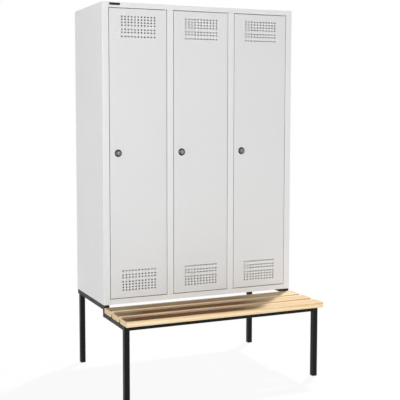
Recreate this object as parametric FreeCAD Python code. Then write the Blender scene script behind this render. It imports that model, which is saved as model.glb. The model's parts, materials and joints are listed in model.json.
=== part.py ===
import FreeCAD, Part
import math
import os
from FreeCAD import Vector

# Steel clothes locker on a tube frame with a slatted bench seat, in millimetres.
# X runs along the front to the right, Y to the back and Z up.
# The origin is on the floor, under the middle of the whole unit.

# Overall sizes
cabinet_width = 1190.0
cabinet_depth = 500.0
cabinet_height = 1670.0
cabinet_lift = 450.0
seat_reach = 363.0

# Carcass sheet
sheet = 0.8
bend = 1.0
stile_width = 38.0
rail_height = 30.0
jamb_depth = 22.0
stop_width = 12.0
rear_flange = 20.0
partition_front_flange = 28.0
wall_hole_radius = 4.5
wall_hole_spacing = 800.0
wall_hole_drop = 60.0

# Hat shelves and coat rails
hat_space = 300.0
shelf_lip = 20.0
shelf_hem = 10.0
shelf_setback = 52.0
coat_rail_drop = 50.0
coat_rail_height = 18.0
coat_rail_thickness = 6.0
coat_rail_bracket_depth = 40.0
coat_rail_bracket_height = 34.0
coat_rail_bracket_sheet = 2.0

# Sliding coat hooks
hook_strip = 2.0
hook_width = 12.0
hook_play = 0.3
hook_toe_bend = 7.0
hook_drop = 42.0
hook_reach = 24.0
hook_toe = 20.0
hook_heel = 4.0
hook_spread = 140.0

# Doors
door_gap = 3.0
door_sheet = 1.0
door_bend = 1.8
door_depth = 18.0
door_lip = 12.0

# Ventilation perforation at both ends of a door
vent_columns = 11
vent_column_pitch = 19.3
vent_row_pitch = 15.7
vent_group_counts = (4, 2, 1)
vent_group_share = 0.46
vent_end_margin = 44.0
vent_hole_width = 9.0
vent_hole_height = 7.5

# Door stiffener
stiffener_left = 17.0
stiffener_width = 80.0
stiffener_flange = 14.0
stiffener_rise = 15.0
stiffener_end_margin = 195.0

# Door pivots
pivot_inset = 6.0
pin_radius = 3.0
pin_play = 0.05
pin_head_radius = 4.5
pin_head_height = 3.0
pin_collar_radius = 4.8
pin_tail = 1.5
bush_radius = 4.5
bush_flange_radius = 5.6
bush_flange_height = 1.0
bush_length = 4.0
hinge_lift_play = 0.2

# Rotary lock
lock_inset = 48.0
lock_rise = 10.0
rosette_radius = 21.0
rosette_face_radius = 17.5
rosette_height = 4.0
barrel_width = 16.0
barrel_play = 0.2
lock_nut_width = 24.0
lock_nut_height = 4.0
knob_radius = 13.0
knob_base = 4.0
knob_grip = 10.0
knob_grip_width = 9.0
knob_play = 0.3
padlock_hole_radius = 3.5
spindle_width = 6.0
spindle_bore_radius = 4.35
spindle_tail = 1.5
cam_width = 18.0
cam_reach = 55.0
cam_heel = 11.0
cam_thickness = 3.0
cam_play = 0.6
cam_nut_width = 13.0
cam_nut_height = 4.0

# Rubber buffers on the door stops
buffer_width = 8.0
buffer_end_margin = 110.0
buffer_play = 0.3

# Bench frame
tube = 30.0
tube_wall = 1.5
tube_corner = 3.0
frame_inset = 2.5
seat_drop = 10.0
rear_leg_setback = 22.0
front_leg_inset = 24.0
plug_head = 2.0
plug_inset = 0.5
plug_length = 14.0
plug_play = 0.1
glide_head = 6.0

# Seat slats and battens
slat_count = 3
slat_thickness = 30.0
slat_gap = 25.0
slat_rear_clearance = 13.0
slat_top_round = 8.0
slat_under_round = 3.0
slat_overhang = 2.0
spacer_height = 18.0
batten_width = 30.0
batten_thickness = 20.0
batten_spacing = 384.0
batten_end_play = 2.0

# Screws and bolts
prism_side_count = 8
screw_radius = 2.4
screw_play = 0.2
screw_bite = 15.0
screw_head_radius = 5.0
screw_head_height = 2.5
screw_edge = 8.0
bolt_radius = 4.0
bolt_play = 0.3
bolt_head_width = 13.0
bolt_head_height = 5.0
bolt_tail = 2.0
bolt_front_setback = 60.0
bolt_rear_setback = 110.0

# Places worked out from the sizes above
compartment_names = ("left", "middle", "right")
side_signs = {"left": -1, "right": 1}
compartments = len(compartment_names)
half_width = cabinet_width / 2
back = (cabinet_depth + seat_reach) / 2
front = back - cabinet_depth
seat_front = -back
cabinet_top = cabinet_lift + cabinet_height
cabinet_middle = cabinet_lift + cabinet_height / 2
wall_inner = half_width - sheet
stile_inner = half_width - stile_width
back_inner = back - 2 * sheet
stop_back = front + jamb_depth + sheet
rail_stop_front = stop_back + bend
rail_stop_back = rail_stop_front + sheet
opening_width = (cabinet_width - (compartments + 1) * stile_width) / compartments
compartment_pitch = opening_width + stile_width
opening_lefts = [compartment_pitch * n - stile_inner for n in range(compartments)]
post_centres = [left - stile_width / 2 for left in opening_lefts[1:]]
compartment_lefts = [-wall_inner] + [centre + sheet for centre in post_centres]
compartment_rights = post_centres + [wall_inner]

door_width = opening_width - 2 * door_gap
door_bottom = cabinet_lift + rail_height + door_gap
door_top = cabinet_top - rail_height - door_gap
door_lefts = [left + door_gap for left in opening_lefts]
pivot_x = door_width - pivot_inset
pivot_y = front + pivot_inset
lock_z = (door_bottom + door_top) / 2 + lock_rise
web_back = front + door_sheet + stiffener_rise
cam_front = stop_back + sheet + cam_play
spindle_end = cam_front + cam_thickness + cam_nut_height + spindle_tail

shelf_top = cabinet_top - hat_space
shelf_front = front + shelf_setback
coat_rail_y = (shelf_front + back_inner) / 2
coat_rail_z = shelf_top - coat_rail_drop

seat_top = cabinet_lift - seat_drop
seat_bottom = seat_top - slat_thickness
frame_x = half_width - frame_inset - tube / 2
upper_rail_z = cabinet_lift - tube / 2
upper_rail_bottom = cabinet_lift - tube
seat_arm_z = seat_bottom - tube / 2
seat_arm_bottom = seat_bottom - tube
rear_leg_y = back - rear_leg_setback - tube / 2
step_post_y = front + tube / 2
slat_width = (seat_reach - slat_rear_clearance + slat_gap) / slat_count - slat_gap
slat_fronts = [seat_front + (slat_width + slat_gap) * n for n in range(slat_count)]
screw_ys = [slat_front + slat_width - screw_edge for slat_front in slat_fronts]
front_leg_y = seat_front + slat_width - front_leg_inset - tube / 2
batten_xs = (-batten_spacing / 2, batten_spacing / 2)
arm_xs = (-frame_x, frame_x)
bolt_places = [
    Vector(x, y, 0)
    for x in arm_xs
    for y in (front + bolt_front_setback, back - bolt_rear_setback)
]


# Basic shapes

def block(low, high):
    size = high - low
    return Part.makeBox(size.x, size.y, size.z, low)


def rod(radius, start, end):
    axis = end - start
    return Part.makeCylinder(radius, axis.Length, start, axis)


def prism(radius, start, end):
    # An eight-sided bar, for small pieces that repeat and for their holes.
    axis = end - start
    turns = [2 * math.pi * n / prism_side_count for n in range(prism_side_count + 1)]
    points = [Vector(radius * math.cos(turn), radius * math.sin(turn), 0) for turn in turns]
    bar = Part.Face(Part.makePolygon(points)).extrude(Vector(0, 0, axis.Length))
    return stood_on(bar, start, axis)


def mirrored_in_x(shape):
    return shape.mirror(Vector(0, 0, 0), Vector(1, 0, 0))


def mirrored_at_height(shape, height):
    return shape.mirror(Vector(0, 0, height), Vector(0, 0, 1))


def laid_along_x(shape):
    # A profile drawn in XY and extruded along Z comes to lie in YZ, extruded along X.
    third_turn = 120
    turned = shape.copy()
    turned.rotate(Vector(0, 0, 0), Vector(1, 1, 1), third_turn)
    return turned


def path_edges(points, radii):
    # Straight runs joined by tangent arcs, with one radius for each inner point, or 0 for a sharp corner.
    edges = []
    start = points[0]
    for before, corner, after, radius in zip(points, points[1:], points[2:], radii):
        if radius == 0:
            edges.append(Part.makeLine(start, corner))
            start = corner
            continue
        incoming = (corner - before).normalize()
        outgoing = (after - corner).normalize()
        half_turn = incoming.getAngle(outgoing) / 2
        reach = radius * math.tan(half_turn)
        bisector = (outgoing - incoming).normalize()
        first = corner - incoming * reach
        last = corner + outgoing * reach
        middle = corner + bisector * (radius / math.cos(half_turn) - radius)
        edges.append(Part.makeLine(start, first))
        edges.append(Part.Arc(first, middle, last).toShape())
        start = last
    edges.append(Part.makeLine(start, points[-1]))
    return edges


def left_normal(start, end):
    run = (end - start).normalize()
    return Vector(-run.y, run.x, 0)


def offset_points(points, distance):
    # The open path moved to its left, with mitred corners.
    normals = [left_normal(start, end) for start, end in zip(points, points[1:])]
    before = [normals[0]] + normals
    after = normals + [normals[-1]]
    moved = []
    for point, first, second in zip(points, before, after):
        moved.append(point + (first + second) * (distance / (1 + first.dot(second))))
    return moved


def turns_left(before, corner, after):
    return (corner - before).cross(after - corner).z > 0


def folded_sheet(points, length, thickness=sheet, radii=None):
    # A bent sheet: the path is one face of it, and the sheet lies on the path's left.
    corners = list(zip(points, points[1:], points[2:]))
    inside = radii or [bend] * len(corners)
    lefts = [turns_left(*corner) for corner in corners]
    outside = [r + thickness if r else r for r in inside]
    near = [outer if left else inner for inner, outer, left in zip(inside, outside, lefts)]
    far = [inner if left else outer for inner, outer, left in zip(inside, outside, lefts)]
    moved = offset_points(points, thickness)
    edges = path_edges(points, near) + path_edges(moved, far)
    edges.append(Part.makeLine(points[0], moved[0]))
    edges.append(Part.makeLine(points[-1], moved[-1]))
    outline = Part.Wire(Part.__sortEdges__(edges))
    return Part.Face(outline).extrude(Vector(0, 0, length))


def rounded_square(size, radius):
    half = size / 2
    points = [
        Vector(half, 0),
        Vector(half, half),
        Vector(-half, half),
        Vector(-half, -half),
        Vector(half, -half),
        Vector(half, 0),
    ]
    return Part.Wire(path_edges(points, [radius] * len(points[1:-1])))


def stood_on(shape, start, direction):
    # A shape built upwards from the origin is stood on start, facing the direction.
    shape.Placement = FreeCAD.Placement(start, FreeCAD.Rotation(Vector(0, 0, 1), direction))
    return shape


def square_tube(size, start, end):
    axis = end - start
    outer = Part.Face(rounded_square(size, tube_corner)).extrude(Vector(0, 0, axis.Length))
    half = Vector(size / 2 - tube_wall, size / 2 - tube_wall, 0)
    hollow = block(-half, half + Vector(0, 0, axis.Length))
    return stood_on(outer.cut(hollow), start, axis)


def tube_plug(size, head, start, direction):
    # The head covers the tube's mouth and the stem fills the tube behind it.
    half_head = size / 2 - plug_inset
    half_stem = size / 2 - tube_wall - plug_play
    cap = block(Vector(-half_head, -half_head, 0), Vector(half_head, half_head, head))
    stem = block(Vector(-half_stem, -half_stem, head), Vector(half_stem, half_stem, head + plug_length))
    return stood_on(cap.fuse(stem), start, direction)


# Carcass

def side_panel_left():
    # Wall, front stile, jamb and door stop are one folded sheet.
    stile_edge = -stile_inner
    points = [
        Vector(rear_flange - half_width, back),
        Vector(-half_width, back),
        Vector(-half_width, front),
        Vector(stile_edge, front),
        Vector(stile_edge, front + jamb_depth),
        Vector(stile_edge + stop_width, front + jamb_depth),
    ]
    panel = folded_sheet(points, cabinet_height - 2 * sheet)
    panel.translate(Vector(0, 0, cabinet_lift + sheet))
    for z in (cabinet_lift, cabinet_top - rail_height):
        low = Vector(stile_edge, front, z)
        high = Vector(stile_edge + stop_width, front + 2 * jamb_depth, z + rail_height)
        panel = panel.cut(block(low, high))
    return panel


def front_post(centre):
    # Hat section with a jamb and a door stop on both sides.
    half = stile_width / 2
    stop = front + jamb_depth
    points = [
        Vector(centre - half - stop_width, stop),
        Vector(centre - half, stop),
        Vector(centre - half, front),
        Vector(centre + half, front),
        Vector(centre + half, stop),
        Vector(centre + half + stop_width, stop),
    ]
    post = folded_sheet(points, cabinet_height - 2 * rail_height)
    post.translate(Vector(0, 0, cabinet_lift + rail_height))
    return post


def partition(centre):
    # Flanged to the back panel and, on the hinge side, to the post's stop, clear of the latch.
    flange_back = stop_back + sheet
    flange_edge = centre - partition_front_flange
    points = [
        Vector(centre + rear_flange, back_inner),
        Vector(centre, back_inner),
        Vector(centre, flange_back),
        Vector(flange_edge, flange_back),
    ]
    wall = folded_sheet(points, cabinet_height - 2 * sheet - 2 * bend)
    wall.translate(Vector(0, 0, cabinet_lift + sheet + bend))
    notch_height = rail_height + stop_width
    for z in (cabinet_lift, cabinet_top - notch_height):
        low = Vector(flange_edge, stop_back, z)
        high = Vector(centre + sheet, rail_stop_back, z + notch_height)
        wall = wall.cut(block(low, high))
    return wall


def pivot_places():
    return [Vector(left + pivot_x, pivot_y, 0) for left in door_lefts]


def roof_panel():
    # The plate is folded down behind and, in front, into the rail over the doors.
    rail_bottom = cabinet_top - rail_height
    points = [
        Vector(back, cabinet_top - rear_flange),
        Vector(back, cabinet_top),
        Vector(front, cabinet_top),
        Vector(front, rail_bottom),
        Vector(rail_stop_front, rail_bottom),
        Vector(rail_stop_front, rail_bottom - stop_width),
    ]
    roof = laid_along_x(folded_sheet(points, 2 * stile_inner))
    roof.translate(Vector(-stile_inner, 0, 0))
    for sign in side_signs.values():
        low = Vector(min(sign * stile_inner, sign * half_width), front, cabinet_top - sheet)
        high = Vector(max(sign * stile_inner, sign * half_width), back, cabinet_top)
        roof = roof.fuse(block(low, high))
    for place in pivot_places():
        start = place + Vector(0, 0, rail_bottom)
        roof = roof.cut(prism(bush_radius, start, start + Vector(0, 0, bush_length)))
    return roof.removeSplitter()


def floor_panel():
    # The roof's form upside down, with holes for the bolts to the bench frame.
    floor = mirrored_at_height(roof_panel(), cabinet_middle)
    for place in bolt_places:
        start = place + Vector(0, 0, cabinet_lift - sheet)
        end = place + Vector(0, 0, cabinet_lift + 2 * sheet)
        floor = floor.cut(prism(bolt_radius + bolt_play, start, end))
    return floor


def back_panel():
    half = wall_inner - bend
    low = Vector(-half, back_inner, cabinet_lift + sheet + bend)
    high = Vector(half, back_inner + sheet, cabinet_top - sheet - bend)
    panel = block(low, high)
    for sign in side_signs.values():
        start = Vector(sign * wall_hole_spacing / 2, back_inner, cabinet_top - wall_hole_drop)
        panel = panel.cut(rod(wall_hole_radius, start, start + Vector(0, sheet, 0)))
    return panel


def hat_shelf(left, right):
    shelf_back = back_inner - sheet - bend
    points = [
        Vector(shelf_back, shelf_top - shelf_lip),
        Vector(shelf_back, shelf_top),
        Vector(shelf_front, shelf_top),
        Vector(shelf_front, shelf_top - shelf_lip),
        Vector(shelf_front + shelf_hem, shelf_top - shelf_lip),
    ]
    shelf = laid_along_x(folded_sheet(points, right - left))
    shelf.translate(Vector(left, 0, 0))
    return shelf


def coat_rail(left, right):
    # Flat bar between two wall brackets.
    half_thickness = coat_rail_thickness / 2
    half_height = coat_rail_height / 2
    bar = block(
        Vector(left, coat_rail_y - half_thickness, coat_rail_z - half_height),
        Vector(right, coat_rail_y + half_thickness, coat_rail_z + half_height),
    )
    half = Vector(0, coat_rail_bracket_depth / 2, coat_rail_bracket_height / 2)
    through = Vector(coat_rail_bracket_sheet, 0, 0)
    for start in (left, right - coat_rail_bracket_sheet):
        middle = Vector(start, coat_rail_y, coat_rail_z)
        bar = bar.fuse(block(middle - half, middle + half + through))
    return bar.removeSplitter()


def coat_hook(x):
    # A strip bent over the rail, with its toe turned up in front.
    near = coat_rail_y - coat_rail_thickness / 2 - hook_play
    far = coat_rail_y + coat_rail_thickness / 2 + hook_play
    top = coat_rail_z + coat_rail_height / 2 + hook_play
    bottom = coat_rail_z - coat_rail_height / 2
    low = bottom - hook_drop
    points = [
        Vector(near - hook_reach, low + hook_toe),
        Vector(near - hook_reach, low),
        Vector(near, low),
        Vector(near, top),
        Vector(far, top),
        Vector(far, bottom + hook_heel),
    ]
    radii = [hook_toe_bend, hook_toe_bend, 0, 0]
    hook = laid_along_x(folded_sheet(points, hook_width, hook_strip, radii))
    hook.translate(Vector(x - hook_width / 2, 0, 0))
    return hook


def hook_places():
    middles = [(left + right) / 2 for left, right in zip(compartment_lefts, compartment_rights)]
    return [(middle - hook_spread / 2, middle + hook_spread / 2) for middle in middles]


def hinge_bush(place):
    under = door_top + door_gap
    flange = prism(
        bush_flange_radius,
        place + Vector(0, 0, under - bush_flange_height),
        place + Vector(0, 0, under),
    )
    sleeve = prism(bush_radius, place + Vector(0, 0, under), place + Vector(0, 0, under + bush_length))
    bore = rod(
        pin_radius + pin_play,
        place + Vector(0, 0, under - bush_flange_height),
        place + Vector(0, 0, under + bush_length),
    )
    return flange.fuse(sleeve).cut(bore)


def hinge_bushes():
    upper = [hinge_bush(place) for place in pivot_places()]
    lower = [mirrored_at_height(bush, cabinet_middle) for bush in upper]
    return Part.makeCompound(upper + lower)


def door_buffers():
    # Pads on the stop at each door's closing edge, just behind the door's lip.
    pads = []
    near = front + door_depth + buffer_play
    for left in opening_lefts:
        pad_left = left + (door_gap + stop_width - buffer_width) / 2
        for z in (door_bottom + buffer_end_margin, door_top - buffer_end_margin - buffer_width):
            low = Vector(pad_left, near, z)
            high = Vector(pad_left + buffer_width, front + jamb_depth, z + buffer_width)
            pads.append(block(low, high))
    return Part.makeCompound(pads)


# Doors, built with the left edge at X = 0

def vent_rows():
    # Distances of the rows of holes from the end of the door.
    rows = []
    place = vent_end_margin
    for count in vent_group_counts:
        rows += [place + vent_row_pitch * n for n in range(count)]
        place += vent_row_pitch * (count + vent_group_share)
    return rows


def vent_holes():
    span = vent_column_pitch * (vent_columns - 1)
    columns = [(door_width - span) / 2 + vent_column_pitch * n for n in range(vent_columns)]
    heights = [door_bottom + row for row in vent_rows()] + [door_top - row for row in vent_rows()]
    half = Vector(vent_hole_width / 2, 0, vent_hole_height / 2)
    through = Vector(0, door_sheet, 0)
    holes = []
    for x in columns:
        for z in heights:
            middle = Vector(x, front, z)
            holes.append(block(middle - half, middle + half + through))
    return Part.makeCompound(holes)


def lock_hole():
    half = Vector(barrel_width / 2 + barrel_play, 0, barrel_width / 2 + barrel_play)
    middle = Vector(lock_inset, front, lock_z)
    return block(middle - half, middle + half + Vector(0, door_depth, 0))


def door_panel():
    # A folded pan with a lip all round, perforated at both ends.
    low = Vector(0, front, door_bottom)
    high = Vector(door_width, front + door_depth, door_top)
    pan = block(low, high)
    rim = [edge for edge in pan.Edges if abs(edge.CenterOfMass.y - front) < door_sheet]
    pan = pan.makeFillet(door_bend, rim)
    wall = Vector(door_sheet, door_sheet, door_sheet)
    pan = pan.cut(block(low + wall, high - wall))
    mouth_low = Vector(door_lip, front + door_depth - door_sheet, door_bottom + door_lip)
    mouth_high = Vector(door_width - door_lip, front + door_depth, door_top - door_lip)
    pan = pan.cut(block(mouth_low, mouth_high))
    pivot = Vector(pivot_x, pivot_y, 0)
    for z in (door_bottom, door_top - door_sheet):
        start = pivot + Vector(0, 0, z)
        pan = pan.cut(rod(pin_radius + pin_play, start, start + Vector(0, 0, door_sheet)))
    return pan.cut(lock_hole()).cut(vent_holes())


def door_stiffener():
    # Hat section welded to the back of the door's skin, between the perforations.
    skin_back = front + door_sheet
    web_front = web_back - door_sheet
    left = stiffener_left
    right = stiffener_left + stiffener_width
    points = [
        Vector(left, skin_back),
        Vector(left + stiffener_flange, skin_back),
        Vector(left + stiffener_flange, web_front),
        Vector(right - stiffener_flange, web_front),
        Vector(right - stiffener_flange, skin_back),
        Vector(right, skin_back),
    ]
    height = door_top - door_bottom - 2 * stiffener_end_margin
    rib = folded_sheet(points, height, door_sheet, [0] * len(points[1:-1]))
    rib.translate(Vector(0, 0, door_bottom + stiffener_end_margin))
    return rib.cut(lock_hole())


def hinge_pin():
    # Upper pivot: head inside the pan, collar in the gap and shank in the bush.
    pivot = Vector(pivot_x, pivot_y, 0)
    head_top = door_top - door_sheet
    head_bottom = head_top - pin_head_height
    collar_top = door_top + door_gap - bush_flange_height - hinge_lift_play
    shank_top = door_top + door_gap + bush_length + pin_tail
    head = prism(pin_head_radius, pivot + Vector(0, 0, head_bottom), pivot + Vector(0, 0, head_top))
    collar = prism(pin_collar_radius, pivot + Vector(0, 0, door_top), pivot + Vector(0, 0, collar_top))
    shank = rod(pin_radius, pivot + Vector(0, 0, head_bottom), pivot + Vector(0, 0, shank_top))
    return shank.fuse([head, collar]).removeSplitter()


def hinge_pins():
    upper = hinge_pin()
    return Part.makeCompound([upper, mirrored_at_height(upper, cabinet_middle)])


def lock_point(y):
    return Vector(lock_inset, y, lock_z)


def square_bar(width, start, end):
    half = Vector(width / 2, 0, width / 2)
    return block(lock_point(start) - half, lock_point(end) + half)


def lock_body():
    # Round rosette in front of the door, square barrel through it and nut behind the stiffener.
    outwards = Vector(0, -1, 0)
    rosette = Part.makeCone(
        rosette_radius, rosette_face_radius, rosette_height, lock_point(front), outwards
    )
    barrel = square_bar(barrel_width, front, web_back + lock_nut_height)
    nut = square_bar(lock_nut_width, web_back, web_back + lock_nut_height)
    bore = rod(
        spindle_bore_radius,
        lock_point(front - rosette_height),
        lock_point(web_back + lock_nut_height),
    )
    return rosette.fuse([barrel, nut]).removeSplitter().cut(bore)


def lock_knob():
    # Disc with a grip bar across it, drilled for a padlock, on a square spindle through the lock.
    base_back = front - rosette_height - knob_play
    base_front = base_back - knob_base
    grip_front = base_front - knob_grip
    base = rod(knob_radius, lock_point(base_back), lock_point(base_front))
    grip = rod(knob_radius, lock_point(base_front), lock_point(grip_front))
    half = Vector(knob_grip_width / 2, 0, knob_radius)
    grip = grip.common(block(lock_point(grip_front) - half, lock_point(base_front) + half))
    hole_middle = lock_point(base_front - knob_grip / 2)
    half_hole = Vector(knob_grip_width / 2, 0, 0)
    grip = grip.cut(rod(padlock_hole_radius, hole_middle - half_hole, hole_middle + half_hole))
    spindle = square_bar(spindle_width, base_back, spindle_end)
    return base.fuse([grip, spindle]).removeSplitter()


def lock_cam():
    # Bar on the spindle's inner end, hanging down while the door is unlocked.
    half = cam_width / 2
    back_face = cam_front + cam_thickness
    low = Vector(lock_inset - half, cam_front, lock_z - cam_reach)
    high = Vector(lock_inset + half, back_face, lock_z + cam_heel)
    bar = block(low, high)
    nut = square_bar(cam_nut_width, back_face, back_face + cam_nut_height)
    hole = square_bar(spindle_width, cam_front, back_face + cam_nut_height)
    return bar.fuse(nut).removeSplitter().cut(hole)


# Bench frame

def upper_rail(x):
    start = Vector(x, front + plug_head, upper_rail_z)
    end = Vector(x, back - plug_head, upper_rail_z)
    rail = square_tube(tube, start, end)
    for place in bolt_places:
        if place.x == x:
            low = place + Vector(0, 0, upper_rail_bottom)
            high = place + Vector(0, 0, cabinet_lift)
            rail = rail.cut(prism(bolt_radius + bolt_play, low, high))
    return rail


def leg(x, y, top):
    return square_tube(tube, Vector(x, y, glide_head), Vector(x, y, top))


def step_post(x):
    start = Vector(x, step_post_y, seat_arm_bottom + plug_head)
    return square_tube(tube, start, Vector(x, step_post_y, upper_rail_bottom))


def seat_arm(x):
    start = Vector(x, front_leg_y + tube / 2, seat_arm_z)
    arm = square_tube(tube, start, Vector(x, front, seat_arm_z))
    for y in screw_ys:
        low = Vector(x, y, seat_arm_bottom)
        high = Vector(x, y, seat_bottom)
        arm = arm.cut(prism(screw_radius + screw_play, low, high))
    return arm


def front_rail():
    end = Vector(frame_x - tube / 2, front_leg_y, seat_arm_z)
    return square_tube(tube, Vector(-end.x, end.y, end.z), end)


def rear_rail():
    end = Vector(frame_x - tube / 2, rear_leg_y, upper_rail_z)
    return square_tube(tube, Vector(-end.x, end.y, end.z), end)


def tube_plugs():
    plugs = []
    for x in arm_xs:
        for y in (front_leg_y, rear_leg_y):
            plugs.append(tube_plug(tube, glide_head, Vector(x, y, 0), Vector(0, 0, 1)))
        plugs.append(tube_plug(tube, plug_head, Vector(x, front, upper_rail_z), Vector(0, 1, 0)))
        plugs.append(tube_plug(tube, plug_head, Vector(x, back, upper_rail_z), Vector(0, -1, 0)))
        foot = Vector(x, step_post_y, seat_arm_bottom)
        plugs.append(tube_plug(tube, plug_head, foot, Vector(0, 0, 1)))
    return Part.makeCompound(plugs)


# Seat

def slat(slat_front):
    # Board with long edges well rounded on top, drilled from below for its screws.
    half_length = half_width + slat_overhang
    low = Vector(-half_length, slat_front, seat_bottom)
    high = Vector(half_length, slat_front + slat_width, seat_top)
    board = block(low, high)
    long_edges = [edge for edge in board.Edges if edge.Length > half_length]
    upper = [edge for edge in long_edges if edge.CenterOfMass.z > seat_bottom + slat_thickness / 2]
    board = board.makeFillet(slat_top_round, upper)
    long_edges = [edge for edge in board.Edges if edge.Length > half_length]
    lower = [edge for edge in long_edges if edge.CenterOfMass.z < seat_bottom + slat_under_round]
    board = board.makeFillet(slat_under_round, lower)
    y = slat_front + slat_width - screw_edge
    for x in arm_xs + batten_xs:
        start = Vector(x, y, seat_bottom)
        end = start + Vector(0, 0, screw_bite + screw_play)
        board = board.cut(prism(screw_radius + screw_play, start, end))
    return board


def slat_spacers():
    # Blocks on the seat arms that keep the slats apart.
    blocks = []
    half = tube / 2
    for x in arm_xs:
        for slat_front in slat_fronts[1:]:
            low = Vector(x - half, slat_front - slat_gap, seat_bottom)
            high = Vector(x + half, slat_front, seat_bottom + spacer_height)
            blocks.append(block(low, high))
    return Part.makeCompound(blocks)


def slat_batten(x):
    half = batten_width / 2
    low = Vector(x - half, front_leg_y + tube / 2, seat_bottom - batten_thickness)
    high = Vector(x + half, slat_fronts[-1] + slat_width - batten_end_play, seat_bottom)
    batten = block(low, high)
    for y in screw_ys:
        start = Vector(x, y, seat_bottom - batten_thickness)
        batten = batten.cut(prism(screw_radius + screw_play, start, Vector(x, y, seat_bottom)))
    return batten


def slat_screw(x, y, seat):
    # Pan-head screw driven up from below.
    start = Vector(x, y, seat - screw_head_height)
    head = prism(screw_head_radius, start, Vector(x, y, seat))
    shank = prism(screw_radius, start, Vector(x, y, seat_bottom + screw_bite))
    return shank.fuse(head).removeSplitter()


def slat_screws():
    screws = []
    for y in screw_ys:
        screws += [slat_screw(x, y, seat_arm_bottom) for x in arm_xs]
        screws += [slat_screw(x, y, seat_bottom - batten_thickness) for x in batten_xs]
    return Part.makeCompound(screws)


def cabinet_bolt(place):
    # Head under the rail, shank through rail and floor panel, nut inside the cabinet.
    half = Vector(bolt_head_width / 2, bolt_head_width / 2, 0)
    rise = Vector(0, 0, bolt_head_height)
    under = place + Vector(0, 0, upper_rail_bottom)
    inside = place + Vector(0, 0, cabinet_lift + sheet)
    head = block(under - half - rise, under + half)
    nut = block(inside - half, inside + half + rise)
    shank = prism(bolt_radius, under - rise, inside + rise + Vector(0, 0, bolt_tail))
    return shank.fuse([head, nut]).removeSplitter()


# Sub-parts by name

def carcass_parts():
    left_side = side_panel_left()
    parts = {
        "side_panel_left": left_side,
        "side_panel_right": mirrored_in_x(left_side),
        "roof_panel": roof_panel(),
        "floor_panel": floor_panel(),
        "back_panel": back_panel(),
        "hinge_bushes": hinge_bushes(),
        "door_buffers": door_buffers(),
    }
    for name, centre in zip(side_signs, post_centres):
        parts["front_post_" + name] = front_post(centre)
        parts["partition_" + name] = partition(centre)
    spans = zip(compartment_names, compartment_lefts, compartment_rights, hook_places())
    for name, left, right, hooks in spans:
        parts["hat_shelf_" + name] = hat_shelf(left, right)
        parts["coat_rail_" + name] = coat_rail(left, right)
        for side, x in zip(side_signs, hooks):
            parts["coat_hook_" + name + "_" + side] = coat_hook(x)
    return parts


def door_parts():
    pieces = {
        "door_panel": door_panel(),
        "door_stiffener": door_stiffener(),
        "hinge_pins": hinge_pins(),
        "lock_body": lock_body(),
        "lock_knob": lock_knob(),
        "lock_cam": lock_cam(),
    }
    parts = {}
    for name, left in zip(compartment_names, door_lefts):
        for piece, shape in pieces.items():
            parts[piece + "_" + name] = shape.translated(Vector(left, 0, 0))
    return parts


def bench_parts():
    parts = {
        "front_rail": front_rail(),
        "rear_rail": rear_rail(),
        "step_posts": Part.makeCompound([step_post(x) for x in arm_xs]),
        "tube_plugs": tube_plugs(),
        "slat_spacers": slat_spacers(),
        "slat_battens": Part.makeCompound([slat_batten(x) for x in batten_xs]),
        "slat_screws": slat_screws(),
        "cabinet_bolts": Part.makeCompound([cabinet_bolt(place) for place in bolt_places]),
    }
    for side, x in zip(side_signs, arm_xs):
        parts["upper_rail_" + side] = upper_rail(x)
        parts["seat_arm_" + side] = seat_arm(x)
        parts["leg_front_" + side] = leg(x, front_leg_y, seat_bottom)
        parts["leg_rear_" + side] = leg(x, rear_leg_y, upper_rail_bottom)
    for name, slat_front in zip(("front", "middle", "rear"), slat_fronts):
        parts["slat_" + name] = slat(slat_front)
    return parts


os.makedirs("parts", exist_ok=True)
for group in (carcass_parts(), door_parts(), bench_parts()):
    for node, shape in group.items():
        shape.exportStep("parts/" + node + ".step")
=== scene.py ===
import json
import math

import bmesh
import bpy
from mathutils import Matrix, Vector


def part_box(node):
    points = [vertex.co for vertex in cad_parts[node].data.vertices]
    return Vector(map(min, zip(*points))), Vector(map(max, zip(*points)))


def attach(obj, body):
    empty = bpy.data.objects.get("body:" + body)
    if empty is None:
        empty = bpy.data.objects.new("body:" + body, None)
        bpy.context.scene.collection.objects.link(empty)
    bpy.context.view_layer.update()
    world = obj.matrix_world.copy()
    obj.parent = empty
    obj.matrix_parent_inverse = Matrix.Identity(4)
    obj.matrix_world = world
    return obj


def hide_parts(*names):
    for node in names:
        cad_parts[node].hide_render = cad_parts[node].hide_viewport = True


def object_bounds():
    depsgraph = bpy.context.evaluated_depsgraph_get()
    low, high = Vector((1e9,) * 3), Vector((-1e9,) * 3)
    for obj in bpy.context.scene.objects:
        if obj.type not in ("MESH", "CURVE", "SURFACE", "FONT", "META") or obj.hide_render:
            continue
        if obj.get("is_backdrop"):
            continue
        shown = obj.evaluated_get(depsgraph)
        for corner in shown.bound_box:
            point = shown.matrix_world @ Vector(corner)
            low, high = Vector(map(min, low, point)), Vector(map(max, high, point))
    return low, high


# Looks of a three-door steel locker on a bench frame with wooden seat slats.
# Lengths are in metres, those of the locks in millimetres. Colours are 8-bit screen values.

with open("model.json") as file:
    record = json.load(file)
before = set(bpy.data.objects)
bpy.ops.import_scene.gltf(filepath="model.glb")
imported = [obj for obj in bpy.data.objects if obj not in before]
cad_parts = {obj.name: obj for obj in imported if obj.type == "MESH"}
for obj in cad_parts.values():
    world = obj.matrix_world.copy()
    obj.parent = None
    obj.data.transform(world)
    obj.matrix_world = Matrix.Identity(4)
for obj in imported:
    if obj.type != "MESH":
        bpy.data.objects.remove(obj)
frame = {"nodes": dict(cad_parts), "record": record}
cad_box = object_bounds()
nodes = frame["nodes"]
compartments = ("left", "middle", "right")
sides = ("left", "right")

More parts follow.
